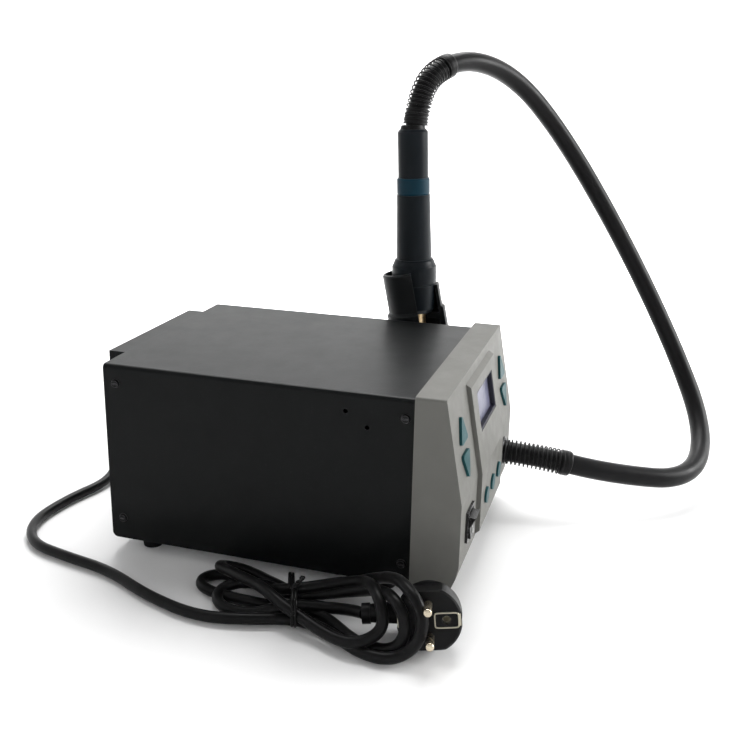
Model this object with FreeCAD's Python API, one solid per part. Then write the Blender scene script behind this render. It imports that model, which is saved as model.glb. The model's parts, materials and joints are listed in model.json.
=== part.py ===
import FreeCAD, Part
import math
import os

# Digital hot air rework station: metal case, moulded front, air pump, handle in a side holder.
# Millimetres. X to the right seen from the front, the front faces -Y, Z up.
# The origin is on the bench, under the middle of the case.

# ---- case ----
case_width = 180.6
case_depth = 212.5
case_height = 125.0
case_front_y = -91.0
foot_height = 10.0
sheet = 1.2
cover_bend = 3.0
cover_corner = 4.0
flange = 12.0
sheet_gap = 0.2
screw_inset_y = 6.0
screw_inset_z = 15.5
cover_screw = 3.0
foot_inset_x = 16.0
foot_inset_front = 20.0
foot_inset_rear = 22.0
foot_top_diameter = 16.0
foot_bottom_diameter = 13.0

# ---- rear ----
hood_width = 122.0
hood_depth = 12.5
hood_height = 48.0
vent_slot = 4.0
gland_x = 55.0
gland_height = 20.0
cord_diameter = 7.2

# ---- moulded front ----
bezel_proud = 3.0
bezel_wall = 2.5
bezel_top_depth = 19.2
bezel_depth = 31.0
bend_below_middle = 0.5
bezel_bend_height = case_height / 2 - bend_below_middle
bezel_low_height = 20.0
panel_width = 82.0
panel_raise = 3.0
window_width = 54.0
window_tall = 27.0
window_up = 37.0
window_recess = 3.6
window_thick = 1.0
window_ledge = 2.5
button_gap = 0.25
button_proud = 1.8
button_travel = 1.0
triangle_side = 19.0
triangle_inset = 20.5
triangle_x = case_width / 2 - triangle_inset
triangle_high = 41.6
triangle_low = 16.9
channel_diameter = 11.0
channel_pitch = 23.0
channel_height = 40.0
switch_x = -67.5
switch_height = 40.0
switch_width = 20.0
switch_tall = 20.5
switch_swing = 10.0

# ---- hose and handle ----
hose_diameter = 15.0
hose_fit = 0.2
guard_wall = 2.0
guard_reach = 11.0
outlet_x = 64.0
outlet_height = 38.0
handle_y = -35.0
handle_above_case = 36.6
handle_base_z = foot_height + case_height + handle_above_case
handle_tilt = 2.46
sleeve_diameter = 23.2
ring_diameter = 25.4
grip_top_diameter = 25.8
grip_low_diameter = 27.8
collar_diameter = 35.2
socket_diameter = 33.8
barrel_diameter = 18.0
barrel_length = 60.0
handle_wall = 1.8
holder_fit = 3.4
holder_bore = collar_diameter + holder_fit
holder_wall = 2.4
holder_off_case = 9.3
handle_x = case_width / 2 + holder_off_case + holder_wall + holder_bore / 2
holder_tilt = 12.0
holder_top_y = -31.0
holder_above_case = 33.0
holder_top_z = foot_height + case_height + holder_above_case
holder_length = 62.0
holder_screw_y = [-46.8, -60.9]
holder_screw_drops = [12.3, 21.4]
holder_screw = 4.0
spare_hole = 3.2

# ---- mains plug ----
plug_diameter = 38.0
plug_flat_width = 34.0
plug_face = (-145.8, -116.2, 23.1)
plug_turn = 192.0
plug_tilt = 15.0
pin_pitch = 19.0
pin_diameter = 4.8
pin_length = 19.0

V = FreeCAD.Vector
AXES = {"x": V(1, 0, 0), "y": V(0, 1, 0), "z": V(0, 0, 1)}
half_width = case_width / 2
bottom_z = foot_height
top_z = foot_height + case_height
holder_screw_z = [top_z - drop for drop in holder_screw_drops]
rear_y = case_front_y + case_depth
inner_x = half_width - sheet
bezel_x = half_width + bezel_proud
bezel_top_z = top_z + bezel_proud - 0.3
bend_z = bottom_z + bezel_bend_height
face_y = case_front_y - bezel_depth
raised_y = face_y - panel_raise
low_z = bottom_z + bezel_low_height


# ---------------------------------------------------------------- helpers
def box(x0, x1, y0, y1, z0, z1):
    return Part.makeBox(x1 - x0, y1 - y0, z1 - z0, V(x0, y0, z0))


def rod(x, y, z, axis, radius, length):
    return Part.makeCylinder(radius, length, V(x, y, z), AXES[axis])


def pipe(x, y, z, axis, outer, inner, length):
    bore = rod(x, y, z, axis, inner, length)
    return rod(x, y, z, axis, outer, length).cut(bore)


def prism_x(points, x0, x1):
    wire = Part.makePolygon([V(x0, y, z) for y, z in points + points[:1]])
    return Part.Face(wire).extrude(V(x1 - x0, 0, 0))


def prism_z(points, z0, z1):
    wire = Part.makePolygon([V(x, y, z0) for x, y in points + points[:1]])
    return Part.Face(wire).extrude(V(0, 0, z1 - z0))


def turned(profile):
    wire = Part.makePolygon([V(r, 0, z) for r, z in profile + profile[:1]])
    return Part.Face(wire).revolve(V(0, 0, 0), V(0, 0, 1), 360)


def fillet_along(shape, radius, direction, test):
    edges = []
    for edge in shape.Edges:
        ends = edge.Vertexes
        if len(ends) < 2:
            continue
        run = ends[1].Point.sub(ends[0].Point)
        straight = run.Length > 0 and abs(run.dot(AXES[direction])) > 0.999 * run.Length
        if straight and test(edge.CenterOfMass):
            edges.append(edge)
    return shape.makeFillet(radius, edges)


def fuse(pieces):
    whole = pieces[0]
    if len(pieces) > 1:
        whole = whole.fuse(pieces[1:])
    return whole.removeSplitter()


def placed(shape, base, axis, angle):
    copy = shape.copy()
    turn = FreeCAD.Placement(base, FreeCAD.Rotation(axis, angle))
    copy.Placement = turn.multiply(copy.Placement)
    return copy


def save(name, shape):
    solids = shape if isinstance(shape, list) else [shape]
    out = solids[0] if len(solids) == 1 else Part.makeCompound(solids)
    if not out.isValid():
        print("not valid:", name)
    out.exportStep("parts/" + name + ".step")
    nodes[name] = out


nodes = {}
os.makedirs("parts", exist_ok=True)


# ---------------------------------------------------------------- metal case
def side_screw_places():
    rows = [bottom_z + screw_inset_z, top_z - screw_inset_z + 3]
    columns = [case_front_y + screw_inset_y, rear_y - screw_inset_y - 3]
    return [(y, z) for y in columns for z in rows]


def drill_x(shape, radius, places):
    for y, z in places:
        shape = shape.cut(rod(-half_width - 5, y, z, "x", radius, case_width + 10))
    return shape


def top_cover():
    outer = box(-half_width, half_width, case_front_y, rear_y, bottom_z, top_z)
    outer = fillet_along(outer, cover_bend, "y", lambda p: p.z > top_z - 1)
    outer = fillet_along(outer, cover_corner, "x", lambda p: p.z < bottom_z + 1)
    inner = box(-inner_x, inner_x, case_front_y - 1, rear_y + 1, bottom_z - 1, top_z - sheet)
    inner = fillet_along(inner, cover_bend - sheet, "y", lambda p: p.z > top_z - sheet - 1)
    cover = drill_x(outer.cut(inner), cover_screw / 2 + 0.2, side_screw_places())
    for y, z in zip(holder_screw_y, holder_screw_z):
        cover = cover.cut(rod(half_width - 5, y, z, "x", holder_screw / 2 + 0.2, 10))
        cover = cover.cut(rod(-half_width - 5, y, z, "x", spare_hole / 2, 10))
    return cover


tray_x = inner_x - sheet_gap
tray_top = bottom_z + 2 * screw_inset_z - 7
board_lift = 6.0
board_post_x = [-tray_x + 16, -18.0]
board_post_y = [-64.0, -22.0]
board_top_z = bottom_z + sheet + board_lift + 1.6


def foot_places():
    x = half_width - foot_inset_x
    rows = [case_front_y + foot_inset_front, rear_y - foot_inset_rear]
    return [(side * x, y) for y in rows for side in (-1, 1)]


def base_tray():
    front = case_front_y + 1.6
    rear = rear_y - 1.6
    tray = box(-tray_x, tray_x, front, rear, bottom_z, bottom_z + sheet)
    for side in (-1, 1):
        x0 = min(side * tray_x, side * (tray_x - sheet))
        tray = tray.fuse(box(x0, x0 + sheet, front, rear, bottom_z, tray_top))
    for x, y in foot_places():
        tray = tray.cut(rod(x, y, bottom_z - 1, "z", 2.1, 4))
    for x in board_post_x:
        for y in board_post_y:
            tray = tray.fuse(rod(x, y, bottom_z + sheet / 2, "z", 3, board_lift + sheet / 2))
    return drill_x(tray.removeSplitter(), cover_screw / 2 + 0.1, side_screw_places())


def end_plate(plate_y, flange_y0, flange_y1):
    plate = box(-tray_x, tray_x, plate_y, plate_y + sheet, bottom_z + sheet + sheet_gap, top_z - sheet - sheet_gap)
    low = tray_top + 4
    high = top_z - sheet - sheet_gap
    for side in (-1, 1):
        x0 = min(side * tray_x, side * (tray_x - sheet))
        plate = plate.fuse(box(x0, x0 + sheet, flange_y0, flange_y1, low, high - cover_bend))
        gap_x = min(side * (tray_x + 1), side * (tray_x - sheet - 0.2))
        plate = plate.cut(box(gap_x, gap_x + sheet + 1.2, plate_y - 1, plate_y + 3, bottom_z, low))
    plate = fillet_along(plate, cover_bend - sheet, "y", lambda p: p.z > high - 0.5)
    return drill_x(plate.removeSplitter(), cover_screw / 2 + 0.1, side_screw_places())


boss_x = half_width - 14
boss_rows = [bottom_z + 12, top_z - 9]
plate_front_y = case_front_y + 0.2


def front_plate():
    plate = end_plate(plate_front_y, plate_front_y, plate_front_y + flange)
    opening = box(-boss_x + 8, boss_x - 8, plate_front_y - 1, plate_front_y + 3, bottom_z + 22, top_z - 18)
    plate = plate.cut(opening)
    plate = plate.cut(rod(outlet_x, plate_front_y - 1, bottom_z + outlet_height + 2, "y", air_tube_diameter / 2 + 2, 3))
    for x in (-boss_x, boss_x):
        for z in boss_rows:
            plate = plate.cut(rod(x, plate_front_y - 1, z, "y", 1.7, 4))
    return plate


def rear_panel():
    plate = end_plate(rear_y - sheet, rear_y - flange, rear_y)
    gland_hole = rod(gland_x, rear_y - 3, bottom_z + gland_height, "y", gland_neck / 2 + 0.1, 6)
    plate = plate.cut(gland_hole)
    for i in range(9):
        x = -40 + 10 * i
        plate = plate.cut(box(x - vent_slot / 2, x + vent_slot / 2, rear_y - 3, rear_y + 1,
                              top_z - hood_height + 8, top_z - 12))
    for x, z in hood_screw_places():
        plate = plate.cut(rod(x, rear_y - 3, z, "y", 1.5, 6))
    return plate


def hood_screw_places():
    x = hood_width / 2 - 5
    return [(side * x, z) for side in (-1, 1) for z in (top_z - hood_height + 6, top_z - 9)]


def rear_hood():
    x = hood_width / 2
    low = top_z - hood_height
    shell = box(-x, x, rear_y, rear_y + hood_depth, low, top_z)
    hollow = box(-x + sheet, x - sheet, rear_y - 1, rear_y + hood_depth - sheet, low + sheet, top_z - sheet)
    shell = shell.cut(hollow)
    for i in range(10):
        z = low + 7 + 3.6 * i
        shell = shell.cut(box(-40, 40, rear_y + hood_depth - 3, rear_y + hood_depth + 1, z, z + 1.6))
    for px, pz in hood_screw_places():
        shell = shell.fuse(rod(px, rear_y, pz, "y", 3.0, hood_depth - sheet + 0.1))
        shell = shell.cut(rod(px, rear_y - 1, pz, "y", 1.3, hood_depth - 3))
    return shell.removeSplitter()


def hood_screws():
    screws = []
    for x, z in hood_screw_places():
        head = rod(x, rear_y - sheet - 1.6, z, "y", 2.6, 1.6)
        screws.append(head.fuse(rod(x, rear_y - sheet, z, "y", 1.25, 8)).removeSplitter())
    return screws


def cover_screws():
    screws = []
    for y, z in side_screw_places():
        for side in (-1, 1):
            head = Part.makeCone(cover_screw * 1.05, cover_screw * 0.8, 1.8, V(side * half_width, y, z), V(side, 0, 0))
            shank = Part.makeCylinder(cover_screw / 2, 6, V(side * half_width, y, z), V(-side, 0, 0))
            socket = Part.makeBox(0.8, 3.2, 0.7, V(min(side * (half_width + 1.2), side * (half_width + 2)), y - 1.6, z - 0.35))
            screws.append(head.fuse(shank).cut(socket).removeSplitter())
    return screws


def foot(x, y):
    body = Part.makeCone(foot_bottom_diameter / 2, foot_top_diameter / 2, foot_height, V(x, y, 0))
    body = body.cut(rod(x, y, -1, "z", 2.1, foot_height + 2))
    return body.cut(rod(x, y, -1, "z", 4.2, foot_height / 2 + 1))


def foot_screws():
    screws = []
    for x, y in foot_places():
        head = rod(x, y, foot_height / 2 - 2.2, "z", 3.8, 2.2)
        shank = rod(x, y, foot_height / 2, "z", 2.0, foot_height / 2 + 7)
        nut = rod(x, y, bottom_z + sheet, "z", 3.6, 3.0)
        screws.append(fuse([head, shank, nut]))
    return screws


# ---------------------------------------------------------------- moulded front
def front_profile(shift):
    top = bezel_top_z - shift
    lip = case_front_y
    slope = (bezel_depth - bezel_top_depth) / (bezel_top_z - bend_z)
    top_edge = case_front_y - bezel_top_depth - slope * shift + shift
    return [(lip, top), (top_edge, top), (face_y + shift, bend_z), (face_y + shift, low_z + shift * 0.4),
            (face_y + 1.8 + shift, low_z - 8 + shift * 0.7), (face_y + 5.4 + shift, bottom_z + 3 + shift),
            (lip, bottom_z + 1.2 + shift)]


facet_rise = bezel_top_z - bend_z
facet_run = bezel_depth - bezel_top_depth
facet_angle = math.degrees(math.atan2(facet_rise, facet_run))
facet_length = math.hypot(facet_rise, facet_run)


def on_facet(shape):
    """Place a shape drawn with X across, Y up the sloping face and Z out of it."""
    return placed(shape, V(0, face_y, bend_z), V(1, 0, 0), facet_angle)


def on_face(shape):
    """Place a shape drawn with X across, Y up the upright face and Z out of it."""
    return placed(shape, V(0, face_y, bottom_z), V(1, 0, 0), 90)


def triangle(x, up, side, pointing, z0, z1):
    tall = side * 0.94
    half = side / 2
    points = [(x - half, up - pointing * tall / 2), (x + half, up - pointing * tall / 2), (x, up + pointing * tall / 2)]
    solid = prism_z(points, z0, z1)
    return fillet_along(solid, side * 0.09, "z", lambda p: True)


button_list = [("air_up_button", -triangle_x, triangle_high, 1), ("air_down_button", -triangle_x, triangle_low, -1),
               ("temp_up_button", triangle_x, triangle_high, 1), ("temp_down_button", triangle_x, triangle_low, -1)]
channel_list = [("channel_%d_button" % (i + 1), channel_pitch * (i - 1)) for i in range(3)]


def raised_panel():
    half = panel_width / 2
    lift = panel_raise
    length = facet_length - 6
    points = [(face_y + 1, low_z - 1), (face_y, low_z - 1), (raised_y, low_z + 1.5), (raised_y, bend_z)]
    up = math.radians(facet_angle)
    along = V(0, math.cos(up), math.sin(up))
    out = V(0, -math.sin(up), math.cos(up))
    corner = V(0, face_y, bend_z)
    high = corner + along * (length - lift) + out * lift
    end = corner + along * length
    back = corner + along * length - out * 1
    points += [(high.y, high.z), (end.y, end.z), (back.y, back.z), (face_y + 1, bend_z)]
    return prism_x(points, -half, half)


def front_bezel():
    shell = prism_x(front_profile(0), -bezel_x, bezel_x)
    shell = fillet_along(shell, 1.6, "y", lambda p: p.z > bezel_top_z - 1)
    inner = front_profile(bezel_wall)
    inner[0] = (case_front_y + 1, inner[0][1])
    inner[-1] = (case_front_y + 1, inner[-1][1])
    shell = shell.cut(prism_x(inner, -bezel_x + bezel_wall, bezel_x - bezel_wall))
    shell = shell.fuse(raised_panel()).removeSplitter()
    pocket = Part.makeBox(window_width, window_tall, 20, V(-window_width / 2, window_up - window_tall / 2,
                          panel_raise - window_recess - window_thick))
    ledge = window_ledge
    through = Part.makeBox(window_width - 2 * ledge, window_tall - 2 * ledge, 30,
                           V(-window_width / 2 + ledge, window_up - window_tall / 2 + ledge, -15))
    shell = shell.cut(on_facet(pocket)).cut(on_facet(through))
    for _, x, up, pointing in button_list:
        hole = triangle(x, up, triangle_side + 2 * button_gap, pointing, -6, 6)
        shell = shell.cut(on_facet(hole))
    for _, x in channel_list:
        hole = Part.makeCylinder(channel_diameter / 2 + button_gap, 20, V(x, channel_height, -10))
        shell = shell.cut(on_face(hole))
    cut = switch_body_size(0.1)
    opening = Part.makeBox(cut[0], cut[1], 20, V(switch_x - cut[0] / 2, switch_height - cut[1] / 2, -10))
    shell = shell.cut(on_face(opening))
    outlet = Part.makeCylinder(outlet_thread / 2 + 0.1, 20, V(outlet_x, outlet_height, -10))
    shell = shell.cut(on_face(outlet))
    for x in (-boss_x, boss_x):
        for z in boss_rows:
            reach = 12 if z > bend_z else 20
            boss = rod(x, case_front_y - reach, z, "y", 3.6, reach)
            shell = shell.fuse(boss).cut(rod(x, case_front_y - 9, z, "y", 1.25, 10))
            width = bezel_x - 1 - boss_x
            x0 = x if x > 0 else x - width
            shell = shell.fuse(box(x0, x0 + width, case_front_y - reach, case_front_y - 0.5, z - 0.9, z + 0.9))
            shell = shell.cut(rod(x, case_front_y - 9, z, "y", 1.25, 10))
    return shell.removeSplitter()


def bezel_screws():
    screws = []
    for x in (-boss_x, boss_x):
        for z in boss_rows:
            head = rod(x, plate_front_y + sheet, z, "y", 2.8, 1.8)
            shank = rod(x, case_front_y - 8, z, "y", 1.2, 8 + plate_front_y + sheet - case_front_y)
            screws.append(head.fuse(shank).removeSplitter())
    return screws


def display_window():
    lens = Part.makeBox(window_width - 0.2, window_tall - 0.2, window_thick,
                        V(-window_width / 2 + 0.1, window_up - window_tall / 2 + 0.1,
                          panel_raise - window_recess - window_thick))
    return on_facet(fillet_along(lens, 0.8, "z", lambda p: True))


board_depth = 11.0
board_thick = 1.6
board_past_keys = 8.2
board_wide = 2 * (triangle_x + board_past_keys)
board_tall = 38.0
module_tall = window_tall + 8


def display_module():
    top = -bezel_wall - 0.2
    depth = board_depth + top
    body = Part.makeBox(window_width + 8, module_tall, depth, V(-window_width / 2 - 4, window_up - module_tall / 2, top - depth))
    glass = Part.makeBox(window_width - 6, window_tall - 6, 0.9, V(-window_width / 2 + 3, window_up - window_tall / 2 + 3, top))
    return on_facet(body.fuse(glass).removeSplitter())


def control_board():
    board = Part.makeBox(board_wide, board_tall, board_thick, V(-board_wide / 2, 8, -board_depth - board_thick))
    return on_facet(board)


key_board_depth = 14.0


def key_board():
    board = Part.makeBox(3 * channel_pitch, 24, board_thick, V(-1.5 * channel_pitch, channel_height - 12, -key_board_depth - board_thick))
    return on_face(board)


cap_flange = 1.2
button_rim = 1.5
plunger = 2.0
tact_tall = 3.4
tact_gap = button_travel + 0.2


def button_cap(outline, flange_outline, x, up, depth, proud):
    """A cap in its hole, with a flange behind the wall and a plunger above its tact switch."""
    wall = bezel_wall
    cap = outline(-wall - 0.1, proud)
    rim = flange_outline(-wall - 0.1 - cap_flange, -wall - 0.1)
    low = -depth + tact_tall + tact_gap
    stem = Part.makeCylinder(plunger, -wall - 0.1 - low, V(x, up, low))
    return fuse([cap, rim, stem])


def triangle_button(x, up, pointing):
    cap = lambda z0, z1: triangle(x, up, triangle_side, pointing, z0, z1)
    rim = lambda z0, z1: triangle(x, up, triangle_side + 2 * button_rim, pointing, z0, z1)
    return on_facet(button_cap(cap, rim, x, up, board_depth, button_proud))


def channel_button(x):
    cap = lambda z0, z1: Part.makeCylinder(channel_diameter / 2, z1 - z0, V(x, channel_height, z0))
    rim = lambda z0, z1: Part.makeCylinder(channel_diameter / 2 + button_rim, z1 - z0, V(x, channel_height, z0))
    return on_face(button_cap(cap, rim, x, channel_height, key_board_depth, panel_raise + 1.5))


def tact_switches():
    parts = []
    for _, x, up, _ in button_list:
        parts.append(on_facet(Part.makeBox(6, 6, tact_tall, V(x - 3, up - 3, -board_depth))))
    for _, x in channel_list:
        parts.append(on_face(Part.makeBox(6, 6, tact_tall, V(x - 3, channel_height - 3, -key_board_depth))))
    return parts


def switch_body_size(extra):
    return switch_width - 2.4 + 2 * extra, switch_tall - 2.4 + 2 * extra


switch_depth = 17.0
rocker_pivot = 3.0
rocker_half = 7.2
rocker_wide = switch_width - 6.0


def switch_housing():
    wide, tall = switch_body_size(0)
    frame = Part.makeBox(switch_width, switch_tall, 1.6, V(switch_x - switch_width / 2, switch_height - switch_tall / 2, 0))
    body = Part.makeBox(wide, tall, switch_depth, V(switch_x - wide / 2, switch_height - tall / 2, -switch_depth))
    shell = frame.fuse(body).removeSplitter()
    space = Part.makeBox(rocker_wide + 0.6, 2 * rocker_half + 2.6, 20,
                         V(switch_x - rocker_wide / 2 - 0.3, switch_height - rocker_half - 1.3, -11))
    shell = shell.cut(space)
    for i in range(3):
        shell = shell.fuse(Part.makeBox(6, 0.8, 8, V(switch_x - 3, switch_height - 7 + 7 * i - 0.4, -switch_depth - 8)))
    pin = Part.makeCylinder(1.2, rocker_wide + 2.6, V(switch_x - rocker_wide / 2 - 1.3, switch_height, -rocker_pivot), V(1, 0, 0))
    return on_face(shell.fuse(pin).removeSplitter())


def power_rocker():
    x0 = switch_x - rocker_wide / 2
    rise = 4.6 + rocker_pivot
    dip = 2.4 + rocker_pivot
    points = [(-rocker_half, 0), (-rocker_half, rise), (0, dip), (rocker_half, rise), (rocker_half, 0), (4, -4), (-4, -4)]
    wire = Part.makePolygon([V(x0, y, z) for y, z in points + points[:1]])
    body = Part.Face(wire).extrude(V(rocker_wide, 0, 0))
    body = body.cut(Part.makeCylinder(1.25, rocker_wide + 4, V(x0 - 2, 0, 0), V(1, 0, 0)))
    return on_face(placed(body, V(0, switch_height, -rocker_pivot), V(1, 0, 0), switch_swing))


# ---------------------------------------------------------------- cords
def route_pieces(points):
    """Straight runs joined by tangent arcs, each arc as large as its two runs allow."""
    corners = [V(*p) for p in points]
    edges, radii, at = [], [], corners[0]
    for i in range(1, len(corners) - 1):
        before = corners[i] - corners[i - 1]
        after = corners[i + 1] - corners[i]
        trim = 0.45 * min(before.Length, after.Length)
        back = before.normalize() * -1
        ahead = after.normalize()
        half_turn = (math.pi - back.getAngle(ahead)) / 2
        radius = trim / math.tan(half_turn)
        start = corners[i] + back * trim
        end = corners[i] + ahead * trim
        bisector = (back + ahead).normalize()
        centre = corners[i] + bisector * (radius / math.cos(half_turn))
        middle = centre - bisector * radius
        edges.append(Part.LineSegment(at, start).toShape())
        edges.append(Part.Arc(start, middle, end).toShape())
        radii.append(radius)
        at = end
    edges.append(Part.LineSegment(at, corners[-1]).toShape())
    return edges, radii


def tube_along(edges, radius):
    path = Part.Wire(edges)
    start = edges[0].valueAt(edges[0].FirstParameter)
    heading = edges[0].tangentAt(edges[0].FirstParameter)
    ring = Part.Wire([Part.Circle(start, heading, radius).toShape()])
    solid = path.makePipeShell([ring], True, False)
    want = math.pi * radius * radius * path.Length
    print("tube", round(path.Length, 1), "mm, volume ratio", round(solid.Volume / want, 4))
    return solid


def tell_radii(name, radii, diameter):
    print(name, "radii in diameters", [round(r / diameter, 1) for r in radii])


hose_route = [(outlet_x, -110.0, 48.5), (outlet_x, -149.5, 47.0), (81.0, -200.5, 33.5), (116.5, -260.5, 21.5),
              (184.5, -269.0, 39.5), (225.5, -236.5, 101.0), (243.5, -186.5, 184.5), (240.0, -132.0, 267.5),
              (209.0, -91.5, 318.0), (159.0, -56.0, 331.5), (handle_x, -29.4, handle_base_z + 134.4),
              (handle_x, -31.8, handle_base_z + 75.4)]
cord_route = [(gland_x, rear_y + 2.0, 30.0), (gland_x, 156.0, 30.0), (48.0, 178.0, 19.0), (27.0, 187.0, 9.0),
              (0.0, 180.0, 4.4), (-38.0, 192.0, 4.2), (-80.0, 195.0, 4.2), (-109.0, 176.0, 4.2), (-118.0, 141.0, 4.2),
              (-125.0, 104.0, 4.2), (-145.0, 66.0, 4.2), (-157.0, 26.0, 4.2), (-152.0, -4.0, 5.2)]

hose_edges, hose_radii = route_pieces(hose_route)
cord_edges, cord_radii = route_pieces(cord_route)
tell_radii("hose", hose_radii, hose_diameter)
tell_radii("cord", cord_radii, cord_diameter)
guard_outer = hose_diameter / 2 + hose_fit / 2 + guard_wall
thread_wall = 1.7
outlet_thread = hose_diameter + 2 * thread_wall
outlet_proud = 1.5
gland_neck = 12.0


def last_part(edge, length):
    high = edge.LastParameter
    span = high - edge.FirstParameter
    return edge.Curve.toShape(high - span * length / edge.Length, high)


def segment(a, b):
    return Part.LineSegment(a, b).toShape()


def outlet_spring():
    first = hose_edges[0]
    start = V(outlet_x, face_y - outlet_proud - 0.5, first.valueAt(first.FirstParameter).z)
    run = hose_route[1][1] - hose_route[0][1]
    share = (start.y - hose_route[0][1]) / run
    start.z = hose_route[0][2] + share * (hose_route[1][2] - hose_route[0][2])
    next_run = hose_edges[2]
    stop = next_run.valueAt((next_run.FirstParameter + next_run.LastParameter) / 2)
    line = segment(start, first.valueAt(first.LastParameter))
    tail = segment(next_run.valueAt(next_run.FirstParameter), stop)
    edges = [line, hose_edges[1], tail]
    return tube_along(edges, guard_outer).cut(tube_along(edges, guard_outer - guard_wall))


def handle_spring():
    last = hose_edges[-1]
    before = hose_edges[-3]
    join = last.valueAt(last.FirstParameter)
    end = join + (last.valueAt(last.LastParameter) - join).normalize() * (join.z - guard_low_z)
    edges = [last_part(hose_edges[-4], guard_reach), before, hose_edges[-2], segment(join, end)]
    return tube_along(edges, guard_outer).cut(tube_along(edges, guard_outer - guard_wall))


def hose_outlet_ring():
    nut = Part.makeCylinder(outlet_thread / 2 + 1.6, outlet_proud, V(outlet_x, outlet_height, 0))
    nut = nut.makeFillet(0.7, [e for e in nut.Edges if e.CenterOfMass.z > outlet_proud - 0.1 and len(e.Vertexes) == 1])
    thread = Part.makeCylinder(outlet_thread / 2, 12, V(outlet_x, outlet_height, -12))
    ring = nut.fuse(thread).removeSplitter()
    back_nut = Part.makeCylinder(outlet_thread / 2 + 3, 3.5, V(outlet_x, outlet_height, -bezel_wall - 3.5))
    ring = fuse([ring, back_nut])
    return on_face(ring.cut(Part.makeCylinder(hose_diameter / 2 + 0.5, 40, V(outlet_x, outlet_height, -20))))


# ---------------------------------------------------------------- handle
def on_handle(shape):
    return placed(shape, V(handle_x, handle_y, handle_base_z), V(1, 0, 0), -handle_tilt)


sleeve_top = 106.0
ring_top = 69.4
ring_low = 56.7
grip_low = 6.4
socket_low = -36.0
bushing_tall = 3.0
guard_low_z = handle_base_z + (sleeve_top + bushing_tall) * math.cos(math.radians(handle_tilt)) + 0.6
bore_top = hose_diameter / 2 + 0.8


def handle_sleeve():
    r = sleeve_diameter / 2
    inner = r - handle_wall
    return on_handle(turned([(inner, ring_low + 1), (r - 0.4, ring_low + 1), (r - 0.4, ring_top), (r, ring_top), (r, sleeve_top - 2),
                             (r - 1.5, sleeve_top), (bore_top, sleeve_top), (bore_top, sleeve_top - 3),
                             (inner, sleeve_top - 5)]))


def handle_bushing():
    return on_handle(turned([(bore_top, sleeve_top), (bore_top + 1.3, sleeve_top), (bore_top + 0.6, sleeve_top + bushing_tall),
                             (bore_top, sleeve_top + bushing_tall)]))


def handle_ring():
    r = ring_diameter / 2
    inner = sleeve_diameter / 2 - 0.4
    return on_handle(turned([(inner, ring_low + 1.2), (r - 0.5, ring_low), (r, ring_low + 1.2), (r, ring_top - 1.2),
                             (r - 0.6, ring_top), (inner, ring_top)]))


def handle_grip():
    top = grip_top_diameter / 2
    low = grip_low_diameter / 2
    wall = handle_wall
    return on_handle(turned([(low - wall, grip_low), (low, grip_low), (top, ring_low), (top - 2.6, ring_low),
                             (top - 2.6, ring_low - 3), (top - wall - 0.4, ring_low - 5)]))


def handle_collar():
    r = collar_diameter / 2
    s = socket_diameter / 2
    g = grip_low_diameter / 2
    b = barrel_diameter / 2
    wall = handle_wall
    return on_handle(turned([(g - wall - 0.2, grip_low), (g + 0.6, grip_low), (g + 1.6, grip_low - 1.2), (r - 1.2, grip_low - 3.8),
                             (r, grip_low - 6), (r, grip_low - 19), (r - 0.9, grip_low - 20.4), (s, grip_low - 20.6),
                             (s - 0.5, socket_low + 3), (s - 2.5, socket_low), (b - 0.1, socket_low), (b - 0.1, socket_low + 4),
                             (s - 4, socket_low + 4)]))


def heater_barrel():
    r = barrel_diameter / 2
    low = socket_low - barrel_length
    return on_handle(turned([(r - 0.8, low), (r, low), (r, socket_low), (r - 0.1, socket_low), (r - 0.1, socket_low + 4), (r + 2.5, socket_low + 4.0),
                             (r + 2.5, socket_low + 5.0), (r - 0.8, socket_low + 5.0)]))


def heater_core():
    r = barrel_diameter / 2 - 1.8
    low = socket_low - barrel_length + 14
    core = turned([(0, low), (r, low), (r, -6), (0, -6)])
    for i in range(6):
        angle = math.radians(60 * i)
        core = core.cut(rod(0.58 * r * math.cos(angle), 0.58 * r * math.sin(angle), low - 1, "z", 1.5, 120))
    collar = turned([(r - 0.5, -12), (12.0, -12), (12.0, -8), (r - 0.5, -8)])
    return on_handle(core.fuse(collar).removeSplitter())


# ---------------------------------------------------------------- holder
def on_holder(shape):
    return placed(shape, V(handle_x, holder_top_y, holder_top_z), V(1, 0, 0), -holder_tilt)


holder_r = holder_bore / 2 + holder_wall
band_extra = 1.8
band_top = -31.0
arm_top = -14.0
slot_from = 198.0
slot_to = 262.0
arm_x = half_width + 6.5


cup_screw_z = [top_z - 29, top_z - 15]
cup_screw_y = -41.0
cup_head_x = handle_x - holder_bore / 2 - 1.5


def sector(radius, start, stop, z0, z1):
    steps = 6
    angles = [math.radians(start + (stop - start) * i / steps) for i in range(steps + 1)]
    points = [(0, 0)] + [(radius * math.cos(a), radius * math.sin(a)) for a in angles]
    return prism_z(points, z0, z1)


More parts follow.
